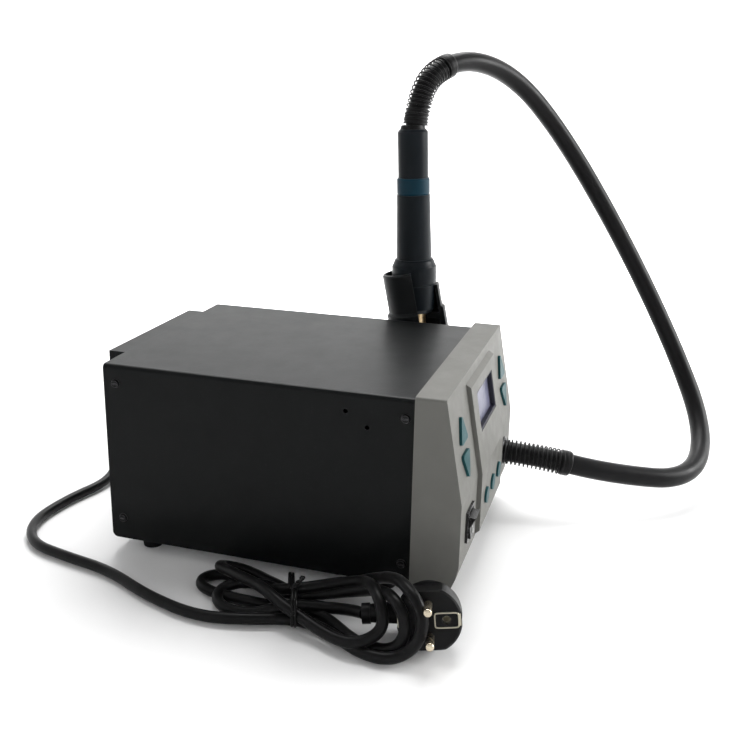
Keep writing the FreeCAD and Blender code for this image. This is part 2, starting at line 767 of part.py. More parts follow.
def holder_cup():
    low = -holder_length
    outer = turned([(0, low), (holder_r + band_extra, low), (holder_r + band_extra, band_top - 2), (holder_r, band_top),
                    (holder_r, -1), (holder_r - 0.8, 0), (0, 0)])
    inner = rod(0, 0, low - 1, "z", holder_bore / 2, holder_length + 2)
    shell = on_holder(outer.cut(inner))
    floor = on_handle(rod(0, 0, socket_low - 5.1, "z", holder_r + 6, 5))
    floor = floor.common(on_holder(outer)).cut(on_handle(rod(0, 0, socket_low - 10, "z", barrel_diameter / 2 + 1.6, 20)))
    boss = box(arm_x, handle_x - holder_bore / 2 - 0.5, -49, -33, top_z - 35, top_z - 9)
    cup = fuse([shell, floor, boss])
    cup = cup.cut(on_holder(sector(60, slot_from, slot_to, low - 20, 20)))
    cup = cup.cut(on_holder(sector(60, slot_to - 1, slot_to + 92, arm_top, 20)))
    clear = turned([(0, socket_low), (socket_diameter / 2 + 0.6, socket_low), (socket_diameter / 2 + 0.6, -14),
                    (collar_diameter / 2 + 0.6, -14), (collar_diameter / 2 + 0.6, 40), (0, 40)])
    cup = cup.cut(on_handle(clear))
    for z in cup_screw_z:
        cup = cup.cut(rod(arm_x - 1, cup_screw_y, z, "x", 1.5, 9))
        cup = cup.cut(rod(cup_head_x, cup_screw_y, z, "x", 3.0, 3))
    return cup.removeSplitter()


def holder_bracket():
    plate = box(half_width, half_width + 3, -69, -33, top_z - 37, top_z - 4)
    plate = fillet_along(plate, 4, "x", lambda p: True)
    pad = box(half_width, arm_x, -50, -33, top_z - 37, top_z - 7)
    whole = fuse([plate, pad])
    for y, z in zip(holder_screw_y, holder_screw_z):
        whole = whole.cut(rod(half_width - 1, y, z, "x", holder_screw / 2 + 0.1, 5))
        whole = whole.cut(rod(half_width + 3, y, z, "x", holder_screw + 0.4, 8))
    for z in cup_screw_z:
        whole = whole.cut(rod(half_width + 1, cup_screw_y, z, "x", 1.45, 8))
    return whole


def holder_screws():
    screws = []
    for y, z in zip(holder_screw_y, holder_screw_z):
        head = rod(half_width + 3, y, z, "x", holder_screw * 0.95, 2.4)
        shank = rod(half_width - 6, y, z, "x", holder_screw / 2, 9)
        nut = rod(half_width - sheet - 3, y, z, "x", holder_screw * 0.9, 3)
        screws.append(fuse([head, shank, nut]))
    for z in cup_screw_z:
        head = rod(cup_head_x, cup_screw_y, z, "x", 2.8, 1.4)
        shank = rod(half_width + 1.2, cup_screw_y, z, "x", 1.4, cup_head_x - half_width - 1.2)
        screws.append(fuse([head, shank]))
    return screws


# ---------------------------------------------------------------- mains cord and plug
def mains_gland():
    y = rear_y
    z = bottom_z + gland_height
    neck = rod(gland_x, y - 8, z, "y", gland_neck / 2, 8)
    flange_disc = rod(gland_x, y, z, "y", gland_neck / 2 + 2.5, 2.5)
    lock = rod(gland_x, y - sheet - 3, z, "y", gland_neck / 2 + 2.5, 3)
    start = V(gland_x, y + 2, z)
    tail = Part.makeCone(gland_neck / 2 + 0.8, cord_diameter / 2 + 0.9, 22, start, V(0, 1, 0))
    gland = fuse([neck, flange_disc, lock, tail])
    return gland.cut(rod(gland_x, y - 10, z, "y", cord_diameter / 2 + 0.1, 50))


plug_level = math.cos(math.radians(plug_tilt))
plug_normal = V(math.cos(math.radians(plug_turn)) * plug_level, math.sin(math.radians(plug_turn)) * plug_level,
                math.sin(math.radians(plug_tilt)))
neck_drop = 6.0


def on_plug(shape):
    """Place a shape drawn with Z out of the plug's face and X along its neck."""
    side = plug_normal.cross(V(0, 0, 1)).normalize()
    turn = math.radians(neck_drop)
    neck = side * math.cos(turn) - side.cross(plug_normal) * math.sin(turn)
    third = plug_normal.cross(neck)
    matrix = FreeCAD.Matrix(neck.x, third.x, plug_normal.x, plug_face[0],
                            neck.y, third.y, plug_normal.y, plug_face[1],
                            neck.z, third.z, plug_normal.z, plug_face[2], 0, 0, 0, 1)
    copy = shape.copy()
    copy.Placement = FreeCAD.Placement(matrix).multiply(copy.Placement)
    return copy


plug_neck_depth = 20.0
plug_neck_length = 40.0
neck_wide = 7.5
neck_narrow = 5.2
neck_flange = 6.2


def plug_outline():
    r = plug_diameter / 2
    disc = turned([(0, -32), (r - 9, -32), (r - 4.5, -30), (r - 3.2, -26), (r - 3, -18), (r, -17.5), (r, -1),
                   (r - 1, 0), (0, 0)])
    half = plug_flat_width / 2
    disc = disc.common(box(-r, r, -half, half, -17.5, 0).fuse(box(-r, r, -r, r, -32, -17.5)))
    start = V(8, 0, -plug_neck_depth)
    neck = Part.makeCone(neck_wide, neck_narrow, plug_neck_length - 10, start, V(1, 0, 0))
    flange_disc = Part.makeCylinder(neck_flange, 5, V(plug_neck_length - 5, 0, -plug_neck_depth), V(1, 0, 0))
    return fuse([disc, neck, flange_disc])


def plug_body():
    body = plug_outline()
    for side in (-1, 1):
        body = body.cut(Part.makeCylinder(pin_diameter / 2, 14, V(0, side * pin_pitch / 2, -12)))
        x0 = side * (plug_diameter / 2 - 2.2)
        body = body.cut(Part.makeBox(3, 7, 14, V(min(x0, x0 + side * 3), -3.5, -13)))
    body = body.cut(Part.makeCylinder(2.6, 20, V(-10, 0, -15)))
    return on_plug(body)


def plug_pins():
    pins = []
    for side in (-1, 1):
        pin = Part.makeCylinder(pin_diameter / 2, pin_length + 12, V(0, side * pin_pitch / 2, -12))
        tip = [e for e in pin.Edges if e.CenterOfMass.z > pin_length - 0.1 and len(e.Vertexes) == 1]
        pins.append(on_plug(pin.makeFillet(1.4, tip)))
    return pins


def plug_earth_contacts():
    contacts = []
    for side in (-1, 1):
        x0 = side * (plug_diameter / 2 - 2.2)
        strip = Part.makeBox(1.4, 7, 12.4, V(min(x0, x0 + side * 1.4), -3.5, -13))
        contacts.append(on_plug(strip))
    contacts.append(on_plug(Part.makeCylinder(2.6, 10, V(-10, 0, -15)).cut(Part.makeCylinder(2.1, 12, V(-10, 0, -14)))))
    return contacts


def oblong(x0, y0, r0, x1, y1, r1, z0, z1):
    """Upright solid with the outline of a belt round two circles."""
    run = math.hypot(x1 - x0, y1 - y0)
    heading = math.atan2(y1 - y0, x1 - x0)
    lean = math.acos((r0 - r1) / run)
    corners = []
    for x, y, r in ((x0, y0, r0), (x1, y1, r1)):
        for side in (1, -1):
            a = heading + side * lean
            corners.append(V(x + r * math.cos(a), y + r * math.sin(a), z0))
    far0 = V(x0 - r0 * math.cos(heading), y0 - r0 * math.sin(heading), z0)
    far1 = V(x1 + r1 * math.cos(heading), y1 + r1 * math.sin(heading), z0)
    wire = Part.Wire([Part.Arc(corners[0], far0, corners[1]).toShape(), segment(corners[1], corners[3]),
                      Part.Arc(corners[3], far1, corners[2]).toShape(), segment(corners[2], corners[0])])
    return Part.Face(wire).extrude(V(0, 0, z1 - z0))


hank_waist = (-132.0, -28.0)
hank_top = 30.0


def cord_hank():
    x, y = hank_waist
    rear = oblong(x, y, 20, -120, 16, 21, 0.3, hank_top - 6)
    side = oblong(x, y, 20, -134, 8, 16, 0.3, hank_top - 6)
    front = oblong(x, y, 20, -132, -81, 34, 0.3, hank_top)
    whole = fuse([rear, side, front])
    gap = 0.3
    r = plug_diameter / 2 + gap
    disc = Part.makeCylinder(r, 34, V(0, 0, -33))
    neck = Part.makeCylinder(neck_wide + gap, plug_neck_length - 8, V(8, 0, -plug_neck_depth), V(1, 0, 0))
    stop = Part.makeCylinder(neck_flange + gap, 5 + gap, V(plug_neck_length - 5, 0, -plug_neck_depth), V(1, 0, 0))
    whole = whole.cut(on_plug(fuse([disc, neck, stop])))
    band = tie_outline(0)
    return biggest(whole.cut(band))


def biggest(shape):
    return sorted(shape.Solids, key=lambda s: s.Volume)[-1]


def tie_outline(extra):
    x, y = hank_waist
    block = box(x - 30, x + 30, y - 5 - extra, y + 5 + extra, -5, hank_top + 10)
    core = box(x - 16, x + 16, y - 10, y + 10, 1.6, hank_top - 8)
    core = fillet_along(core, 6, "y", lambda p: True)
    return block.cut(core)


def cord_tie():
    x, y = hank_waist
    outer = box(x - 17.8, x + 17.8, y - 4.5, y + 4.5, 0.1, hank_top - 6.4)
    outer = fillet_along(outer, 7.5, "y", lambda p: True)
    core = box(x - 16, x + 16, y - 10, y + 10, 1.6, hank_top - 8)
    core = fillet_along(core, 6, "y", lambda p: True)
    return outer.cut(core)


# ---------------------------------------------------------------- inside the case
pump_x, pump_y = -15.0, 55.0
pump_long, pump_wide = 96.0, 74.0
pump_floor = bottom_z + sheet + 8
diaphragm = 2.4
pump_centre_z = pump_floor + 30
manifold_right = pump_x + pump_long / 2 + 12.4
manifold_z = pump_centre_z + 42
port_x, port_y = manifold_right - 20, pump_y - 40
air_tube_diameter = 13.0
air_route = [(outlet_x, -109.5, 48.5), (outlet_x, -78.0, 50.0), (59.0, -46.0, 66.0), (42.0, -22.0, 86.0),
             (port_x, -8.0, manifold_z), (port_x, port_y, manifold_z)]


def pump_mount_places():
    return [(pump_x + sx * (pump_long / 2 - 8), pump_y + sy * (pump_wide / 2 + 6)) for sx in (-1, 1) for sy in (-1, 1)]


def pump_frame():
    base = box(pump_x - pump_long / 2, pump_x + pump_long / 2, pump_y - pump_wide / 2 - 12, pump_y + pump_wide / 2 + 12,
               pump_floor, pump_floor + 3)
    walls = []
    for side in (-1, 1):
        x0 = pump_x + side * (pump_long / 2 - 3) - 3
        wall = box(x0, x0 + 6, pump_y - 27, pump_y + 27, pump_floor + 3, pump_centre_z + 26)
        walls.append(wall.cut(rod(x0 - 1, pump_y, pump_centre_z, "x", 18, 8)))
    frame = fuse([base] + walls)
    for x, y in pump_mount_places():
        frame = frame.cut(rod(x, y, pump_floor - 1, "z", 3.1, 6))
    return frame


def pump_mounts():
    mounts = []
    low = bottom_z + sheet
    for x, y in pump_mount_places():
        body = fuse([rod(x, y, low, "z", 6, pump_floor - low), rod(x, y, pump_floor, "z", 3, 3), rod(x, y, pump_floor + 3, "z", 5, 3)])
        mounts.append(body)
    return mounts


def pump_coils():
    coils = []
    for side in (-1, 1):
        y = pump_y + side * 21
        coil = box(pump_x - 17, pump_x + 17, y - 9, y + 9, pump_centre_z - 18, pump_centre_z + 18)
        coil = fillet_along(coil, 5, "y", lambda p: True)
        coils.append(coil.cut(box(pump_x - 9, pump_x + 9, y - 10, y + 10, pump_centre_z - 10, pump_centre_z + 10)))
    return coils


def pump_cores():
    cores = []
    for side in (-1, 1):
        y = pump_y + side * 21
        leg = box(pump_x - 9, pump_x + 9, y - 10, y + 10, pump_centre_z - 10, pump_centre_z + 10)
        back = min(y + side * 10, y + side * 18)
        yoke = box(pump_x - 30, pump_x + 30, back, back + 8, pump_floor + 3, pump_centre_z + 20)
        cores.append(fuse([leg, yoke]))
    return cores


def pump_armature():
    bar = box(pump_x - 38, pump_x + 38, pump_y - 6, pump_y + 6, pump_centre_z - 8, pump_centre_z + 8)
    ends = []
    for side in (-1, 1):
        reach = pump_long / 2
        x0 = min(pump_x + side * 38, pump_x + side * reach)
        ends.append(rod(x0, pump_y, pump_centre_z, "x", 9, reach - 38))
    return fuse([bar] + ends)


def pump_diaphragms():
    discs = []
    for side in (-1, 1):
        low = min(side * pump_long / 2, side * (pump_long / 2 + diaphragm))
        discs.append(rod(pump_x + low, pump_y, pump_centre_z, "x", 20, diaphragm))
    return discs


def pump_heads():
    heads = []
    for side in (-1, 1):
        x0 = pump_x + side * (pump_long / 2 + diaphragm)
        low = min(x0, x0 + side * 20)
        head = box(low, low + 20, pump_y - 24, pump_y + 24, pump_centre_z - 24, pump_centre_z + 24)
        room = min(x0 - side, x0 + side * 8)
        head = head.cut(rod(room, pump_y, pump_centre_z, "x", 16, 9))
        port = rod(low + 10, pump_y, pump_centre_z + 24, "z", 5, 10)
        head = head.fuse(port).cut(rod(low + 10, pump_y, pump_centre_z, "z", 3.4, 40))
        heads.append(head.removeSplitter())
    return heads


def air_manifold():
    z = pump_centre_z + 34
    left = 2 * pump_x - manifold_right
    right = manifold_right
    y = pump_y
    bar = pipe(left, y, z + 8, "x", 8, 5.6, right - left)
    ends = [rod(left - 2, y, z + 8, "x", 8, 3), rod(right - 1, y, z + 8, "x", 8, 3)]
    legs = []
    for x in (left + 6, right - 6):
        legs.append(rod(x, y, z - 0.0, "z", 7, 4))
    outlet = rod(port_x, port_y, z + 8, "y", 6.5, 36)
    whole = fuse([bar] + ends + legs + [outlet])
    for x in (left, right):
        whole = whole.fuse(rod(x, y, z, "z", 7, 6))
    return whole.removeSplitter()


def air_tube():
    edges, radii = route_pieces(air_route)
    tell_radii("air tube", radii, air_tube_diameter)
    return tube_along(edges, air_tube_diameter / 2)


def power_board():
    low = bottom_z + sheet + board_lift
    return box(-tray_x + 10, -12, -70, -16, low, board_top_z)


def transformer():
    z = board_top_z
    core = box(-70, -34, -60, -32, z, z + 30)
    coil = fillet_along(box(-64, -40, -66, -26, z + 6, z + 24), 3, "x", lambda p: True)
    return fuse([core, coil])


def heat_sink():
    z = board_top_z
    sink = box(-30, -18, -64, -24, z, z + 3)
    for i in range(5):
        sink = sink.fuse(box(-30, -18, -64 + 9 * i, -60 + 9 * i, z, z + 26))
    return sink.removeSplitter()


def fuse_holder():
    z = board_top_z
    base = box(-80, -74, -62, -34, z, z + 8)
    return fuse([base, rod(-77, -60, z + 9, "y", 3, 24)])


# ---------------------------------------------------------------- build
save("top_cover", top_cover())
save("base_tray", base_tray())
save("front_plate", front_plate())
save("rear_panel", rear_panel())
save("rear_hood", rear_hood())
save("cover_screws", cover_screws())
foot_names = ["foot_front_left", "foot_front_right", "foot_rear_left", "foot_rear_right"]
for foot_name, place in zip(foot_names, foot_places()):
    save(foot_name, foot(*place))
save("front_bezel", front_bezel())
save("chassis_screws", hood_screws() + bezel_screws() + foot_screws())
save("display_window", display_window())
save("display_module", display_module())
save("control_board", control_board())
save("key_board", key_board())
save("tact_switches", tact_switches())
for button_name, button_x, button_up, button_pointing in button_list:
    save(button_name, triangle_button(button_x, button_up, button_pointing))
for channel_name, channel_x in channel_list:
    save(channel_name, channel_button(channel_x))
save("switch_housing", switch_housing())
save("power_rocker", power_rocker())
save("hose_outlet_ring", hose_outlet_ring())
save("air_hose", tube_along(hose_edges, hose_diameter / 2))
save("outlet_spring", outlet_spring())
save("handle_spring", handle_spring())
save("handle_bushing", handle_bushing())
save("handle_sleeve", handle_sleeve())
save("handle_ring", handle_ring())
save("handle_grip", handle_grip())
save("handle_collar", handle_collar())
save("heater_barrel", heater_barrel())
save("heater_core", heater_core())
save("holder_cup", holder_cup())
save("holder_bracket", holder_bracket())
save("holder_screws", holder_screws())
save("mains_gland", mains_gland())
hank = cord_hank()
save("mains_cord", biggest(tube_along(cord_edges, cord_diameter / 2).cut(hank)))
save("cord_hank", hank)
save("cord_tie", cord_tie())
save("plug_body", plug_body())
save("plug_pins", plug_pins())
save("plug_earth_contacts", plug_earth_contacts())
save("pump_frame", pump_frame())
save("pump_mounts", pump_mounts())
save("pump_coils", pump_coils())
save("pump_cores", pump_cores())
save("pump_armature", pump_armature())
save("pump_diaphragms", pump_diaphragms())
save("pump_heads", pump_heads())
save("air_manifold", air_manifold())
save("air_tube", air_tube())
save("power_board", power_board())
save("transformer", transformer())
save("heat_sink", heat_sink())
save("fuse_holder", fuse_holder())
print(len(nodes), "nodes")
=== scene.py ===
import bpy
import bmesh
import json
import math
from mathutils import Matrix, Vector


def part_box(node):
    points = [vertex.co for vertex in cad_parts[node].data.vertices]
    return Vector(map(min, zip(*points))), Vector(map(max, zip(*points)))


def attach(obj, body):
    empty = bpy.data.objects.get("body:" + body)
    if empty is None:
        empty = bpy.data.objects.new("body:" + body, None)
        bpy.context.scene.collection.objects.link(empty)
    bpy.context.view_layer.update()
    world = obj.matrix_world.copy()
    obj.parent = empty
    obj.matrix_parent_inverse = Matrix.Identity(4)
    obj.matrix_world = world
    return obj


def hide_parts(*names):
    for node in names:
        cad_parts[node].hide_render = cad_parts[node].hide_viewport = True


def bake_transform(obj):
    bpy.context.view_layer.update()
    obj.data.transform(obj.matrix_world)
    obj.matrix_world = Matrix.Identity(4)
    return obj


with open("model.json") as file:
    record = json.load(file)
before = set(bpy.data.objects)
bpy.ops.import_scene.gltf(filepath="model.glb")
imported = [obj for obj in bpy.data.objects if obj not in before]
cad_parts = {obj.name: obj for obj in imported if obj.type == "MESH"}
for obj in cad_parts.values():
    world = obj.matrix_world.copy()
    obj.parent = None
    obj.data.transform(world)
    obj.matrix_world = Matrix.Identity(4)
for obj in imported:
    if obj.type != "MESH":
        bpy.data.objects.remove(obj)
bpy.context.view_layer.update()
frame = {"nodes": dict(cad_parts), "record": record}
nodes = frame["nodes"]


# ------------------------------------------------------------------ camera
def make_camera():
    data = bpy.data.cameras.new("camera")
    camera = bpy.data.objects.new("camera", data)
    bpy.context.scene.collection.objects.link(camera)
    azimuth, elevation, roll = (math.radians(v) for v in (-71.862, 17.197, 0.584))
    back = Vector((math.sin(azimuth) * math.cos(elevation), -math.cos(azimuth) * math.cos(elevation),
                   math.sin(elevation)))
    right = Vector((math.cos(azimuth), math.sin(azimuth), 0))
    up = back.cross(right)
    turned_right = right * math.cos(roll) + up * math.sin(roll)
    turned_up = up * math.cos(roll) - right * math.sin(roll)
    matrix = Matrix((turned_right, turned_up, back)).transposed().to_4x4()
    matrix.translation = Vector((-0.6344, -0.2208, 0.3290))
    camera.matrix_world = matrix
    data.sensor_width = 36
    data.lens = 47.62
    data.shift_x = 0.0477
    data.shift_y = -0.0135
    data.clip_start = 0.01
    bpy.context.scene.camera = camera


make_camera()


# ------------------------------------------------------------------ materials
class Graph:
    """A small helper for building a node material."""

    def __init__(self, name):
        self.material = bpy.data.materials.new(name)
        self.material.use_nodes = True
        self.tree = self.material.node_tree
        self.shader = self.tree.nodes["Principled BSDF"]
        self.place = None

    def add(self, kind, **values):
        node = self.tree.nodes.new(kind)
        for key, value in values.items():
            setattr(node, key, value)
        return node

    def link(self, out, into):
        self.tree.links.new(out, into)

    def where(self):
        if self.place is None:
            self.place = self.add("ShaderNodeTexCoord").outputs["Object"]
        return self.place

    def stretched(self, scale):
        mapping = self.add("ShaderNodeMapping")
        mapping.inputs["Scale"].default_value = scale
        self.link(self.where(), mapping.inputs["Vector"])
        return mapping.outputs["Vector"]

    def noise(self, scale, detail=3.0, rough=0.55, source=None):
        node = self.add("ShaderNodeTexNoise")
        node.inputs["Scale"].default_value = scale
        node.inputs["Detail"].default_value = detail
        node.inputs["Roughness"].default_value = rough
        self.link(source or self.where(), node.inputs["Vector"])
        return node.outputs["Fac"]

    def ramp(self, source, stops):
        node = self.add("ShaderNodeValToRGB")
        elements = node.color_ramp.elements
        while len(elements) < len(stops):
            elements.new(0.5)
        for element, (at, colour) in zip(elements, stops):
            element.position = at
            element.color = (*colour, 1)
        self.link(source, node.inputs["Fac"])
        return node.outputs["Color"]

    def span(self, source, low, high, low_in=0.0, high_in=1.0):
        node = self.add("ShaderNodeMapRange")
        for key, value in (("From Min", low_in), ("From Max", high_in), ("To Min", low), ("To Max", high)):
            node.inputs[key].default_value = value
        self.link(source, node.inputs["Value"])
        return node.outputs["Result"]

    def bump(self, source, strength, distance, below=None):
        node = self.add("ShaderNodeBump")
        node.inputs["Strength"].default_value = strength
        node.inputs["Distance"].default_value = distance
        self.link(source, node.inputs["Height"])
        if below is not None:
            self.link(below, node.inputs["Normal"])
        return node.outputs["Normal"]

    def edges(self, radius=0.0012):
        """Near 1 on sharp outer edges."""
        bevel = self.add("ShaderNodeBevel", samples=6)
        bevel.inputs["Radius"].default_value = radius
        geometry = self.add("ShaderNodeNewGeometry")
        dot = self.add("ShaderNodeVectorMath", operation="DOT_PRODUCT")
        self.link(bevel.outputs["Normal"], dot.inputs[0])
        self.link(geometry.outputs["Normal"], dot.inputs[1])
        return self.span(dot.outputs["Value"], 1.0, 0.0, 0.80, 0.99)


def mix(graph, factor, first, second):
    node = graph.add("ShaderNodeMix", data_type="RGBA")
    graph.link(factor, node.inputs[0])
    for value, socket in ((first, node.inputs[6]), (second, node.inputs[7])):
        if isinstance(value, tuple):
            socket.default_value = (*value, 1)
        else:
            graph.link(value, socket)
    return node.outputs[2]


def moulded(name, colour, rough, grain=2600, depth=0.00005, strength=0.5, wear=0.25, sheen=0.0, metal=0.0,
            vary=0.14, shine=0.12):
    """Moulded or coated surface: mottled colour, fine grain, paler worn edges."""
    g = Graph(name)
    dark = tuple(c * (1 - vary) for c in colour)
    pale = tuple(min(1, c * (1 + vary)) for c in colour)
    base = g.ramp(g.noise(38, 4), [(0.36, dark), (0.64, pale)])
    worn = tuple(min(1, c * (1 + wear) + 0.02 * wear) for c in colour)
    g.link(mix(g, g.edges(), base, worn), g.shader.inputs["Base Color"])
    g.link(g.span(g.noise(90, 4), rough - 0.06, rough + 0.07, 0.3, 0.7), g.shader.inputs["Roughness"])
    broad = g.bump(g.noise(60, 2), 0.15, 0.0002)
    g.link(g.bump(g.noise(grain, 2, 0.6), strength, depth, broad), g.shader.inputs["Normal"])
    g.shader.inputs["Metallic"].default_value = metal
    g.shader.inputs["Specular IOR Level"].default_value = shine
    if sheen:
        g.shader.inputs["Sheen Weight"].default_value = sheen
        g.shader.inputs["Sheen Roughness"].default_value = 0.4
    return g.material


def brushed(name, colour, rough, along=(1, 1, 40), metal=1.0):
    g = Graph(name)
    streaks = g.noise(120, 3, 0.6, g.stretched(along))
    dark = tuple(c * 0.78 for c in colour)
    g.link(g.ramp(streaks, [(0.3, dark), (0.7, colour)]), g.shader.inputs["Base Color"])
    g.link(g.span(streaks, rough - 0.08, rough + 0.1, 0.3, 0.7), g.shader.inputs["Roughness"])
    g.link(g.bump(streaks, 0.3, 0.00004), g.shader.inputs["Normal"])
    g.shader.inputs["Metallic"].default_value = metal
    return g.material


def heated_barrel():
    """Thin steel tube, straw and bronze heat colours getting darker towards its end."""
    g = Graph("barrel_heated")
    split = g.add("ShaderNodeSeparateXYZ")
    g.link(g.where(), split.inputs[0])
    low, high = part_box("heater_barrel")
    height = g.span(split.outputs["Z"], 0.0, 1.0, low.z, high.z)
    cloud = g.noise(70, 3)
    wobble = g.add("ShaderNodeMath", operation="MULTIPLY_ADD")
    g.link(cloud, wobble.inputs[0])
    wobble.inputs[1].default_value = 0.25
    g.link(height, wobble.inputs[2])
    tint = g.ramp(wobble.outputs[0], [(0.12, (0.16, 0.13, 0.15)), (0.3, (0.30, 0.20, 0.13)),
                                      (0.55, (0.52, 0.36, 0.17)), (0.95, (0.62, 0.47, 0.28))])
    g.link(tint, g.shader.inputs["Base Color"])
    turned_marks = g.noise(160, 2, 0.6, g.stretched((1, 1, 30)))
    g.link(g.span(turned_marks, 0.24, 0.42, 0.3, 0.7), g.shader.inputs["Roughness"])
    g.link(g.bump(turned_marks, 0.25, 0.00004), g.shader.inputs["Normal"])
    g.shader.inputs["Metallic"].default_value = 1.0
    return g.material


def circuit_board():
    g = Graph("board_green")
    cells = g.add("ShaderNodeTexBrick")
    cells.inputs["Scale"].default_value = 240
    cells.inputs["Mortar Size"].default_value = 0.06
    cells.inputs["Color1"].default_value = (0.012, 0.09, 0.035, 1)
    cells.inputs["Color2"].default_value = (0.016, 0.12, 0.045, 1)
    cells.inputs["Mortar"].default_value = (0.03, 0.2, 0.08, 1)
    g.link(g.where(), cells.inputs["Vector"])
    speck = g.span(g.noise(900, 1), 0.0, 1.0, 0.66, 0.68)
    g.link(mix(g, speck, cells.outputs["Color"], (0.55, 0.55, 0.5)), g.shader.inputs["Base Color"])
    g.link(g.span(speck, 0.32, 0.22), g.shader.inputs["Roughness"])
    g.link(g.bump(cells.outputs["Fac"], 0.2, 0.0001), g.shader.inputs["Normal"])
    return g.material


def wound(name, colour, turns):
    """Tape over a winding: bands round the body with soft ridges."""
    g = Graph(name)
    wave = g.add("ShaderNodeTexWave", wave_type="BANDS", bands_direction="X")
    wave.inputs["Scale"].default_value = turns
    wave.inputs["Distortion"].default_value = 0.6
    g.link(g.where(), wave.inputs["Vector"])
    dark = tuple(c * 0.6 for c in colour)
    g.link(g.ramp(wave.outputs["Fac"], [(0.1, dark), (0.6, colour)]), g.shader.inputs["Base Color"])
    g.shader.inputs["Roughness"].default_value = 0.35
    g.link(g.bump(wave.outputs["Fac"], 0.4, 0.0002), g.shader.inputs["Normal"])
    return g.material


def crystal_display():
    """Pale violet-grey liquid crystal behind a clear window, with faint segment blocks."""
    g = Graph("display_glass")
    segments = g.add("ShaderNodeTexBrick", offset=0.0)
    segments.inputs["Scale"].default_value = 120
    segments.inputs["Mortar Size"].default_value = 0.12
    segments.inputs["Color1"].default_value = (0.080, 0.082, 0.125, 1)
    segments.inputs["Color2"].default_value = (0.092, 0.094, 0.140, 1)
    segments.inputs["Mortar"].default_value = (0.110, 0.112, 0.165, 1)
    g.link(g.stretched((1.0, 0.6, 1.0)), segments.inputs["Vector"])
    g.link(segments.outputs["Color"], g.shader.inputs["Base Color"])
    g.link(g.span(g.noise(30, 2), 0.24, 0.3), g.shader.inputs["Roughness"])
    g.shader.inputs["Specular IOR Level"].default_value = 0.1
    return g.material


def powder_coat():
    """Black powder coat: orange-peel bump, soft sheen, a few dusty and rubbed places."""
    g = Graph("powder_black")
    base = g.ramp(g.noise(26, 4), [(0.35, (0.0040, 0.0046, 0.0048)), (0.65, (0.0048, 0.0054, 0.0056))])
    dust = g.span(g.noise(420, 3, 0.7), 0.0, 0.08, 0.58, 0.8)
    rubbed = mix(g, g.edges(0.0009), base, (0.022, 0.023, 0.025))
    g.link(mix(g, dust, rubbed, (0.05, 0.05, 0.054)), g.shader.inputs["Base Color"])
    g.link(g.span(g.noise(55, 3), 0.34, 0.38, 0.3, 0.7), g.shader.inputs["Roughness"])
    peel = g.bump(g.noise(520, 2, 0.5), 0.3, 0.0001)
    g.link(g.bump(g.noise(2400, 2, 0.6), 0.3, 0.00005, peel), g.shader.inputs["Normal"])
    g.shader.inputs["Specular IOR Level"].default_value = 0.1
    return g.material


looks = {
    "case_black": powder_coat(),
    "zinc_sheet": brushed("zinc_sheet", (0.5, 0.51, 0.52), 0.4, (30, 1, 1)),
    "black_screw": moulded("screw_black", (0.006, 0.006, 0.0065), 0.34, 1500, wear=3.0, metal=0.4),
    "zinc_screw": brushed("screw_zinc", (0.55, 0.55, 0.53), 0.35),
    "rubber": moulded("rubber_foot", (0.008, 0.008, 0.0085), 0.7, 1800, 0.0001, 0.5, 0.6),
    "bezel_grey": moulded("bezel_grey", (0.136, 0.135, 0.125), 0.55, 3000, 0.00006, 0.5, 0.08,
                          vary=0.03, shine=0.12),
    "display": crystal_display(),
    "print_white": moulded("print_white", (0.42, 0.42, 0.41), 0.5, 2600, 0.00002, 0.2, 0.2, vary=0.03),
    # painted shade: near-black colour on the display recess walls, standing in for the shade in the recess
    "painted_shade_liner": moulded("painted_shade_liner", (0.012, 0.012, 0.022), 0.4, 2000, 0.00003, 0.3, 0.4, shine=0.15),
    "board_parts": moulded("part_black", (0.02, 0.02, 0.022), 0.45),
    "circuit_board": circuit_board(),
    "teal_button": moulded("button_teal", (0.015, 0.060, 0.066), 0.46, 2600, 0.00005, 0.4, 0.5,
                           vary=0.08, shine=0.08),
    "switch_black": moulded("switch_black", (0.006, 0.006, 0.0065), 0.26, 2000, 0.00003, 0.3, 0.9, shine=0.5),
    "hose_rubber": moulded("hose_rubber", (0.0048, 0.0048, 0.0052), 0.40, 900, 0.00008, 0.3, 0.4, 0.08),
    "handle_slate": moulded("handle_slate", (0.0030, 0.0052, 0.0074), 0.36, 2400, 0.00005, 0.45, 0.9),
    "ring_blue": moulded("ring_blue", (0.0018, 0.024, 0.040), 0.40, 2400, 0.00004, 0.3, 0.5),
    "barrel_steel": heated_barrel(),
    "ceramic": moulded("ceramic_former", (0.66, 0.62, 0.55), 0.7, 900, 0.0001, 0.5, 0.1),
    "holder_black": moulded("holder_black", (0.0065, 0.0075, 0.0082), 0.42, 2000, 0.00006, 0.5, 1.2),
    "cord_black": moulded("cord_black", (0.0034, 0.0034, 0.0037), 0.34, 1100, 0.00006, 0.25, 0.4, 0.05),
    "tie_black": moulded("tie_black", (0.003, 0.003, 0.003), 0.28, 1500, 0.00003, 0.2, 0.5),
    "plug_black": moulded("plug_black", (0.0050, 0.0050, 0.0054), 0.40, 1900, 0.00006, 0.4, 0.7),
    "pin_nickel": brushed("pin_bright", (0.66, 0.58, 0.44), 0.25, (1, 1, 20)),
    "contact_brass": brushed("contact_bright", (0.50, 0.47, 0.38), 0.35),
    "pump_steel": brushed("steel_laminated", (0.35, 0.35, 0.36), 0.45, (1, 60, 1)),
    "coil_tape": wound("winding_tape", (0.5, 0.33, 0.03), 900),
    "heat_sink": brushed("sink_aluminium", (0.6, 0.6, 0.62), 0.35, (1, 30, 1)),
}


def paint(obj, material):
    obj.data.materials.clear()
    obj.data.materials.append(material)


for part in frame["record"]["subparts"]:
    paint(nodes[part["node"]], looks[part["material_slot"]])


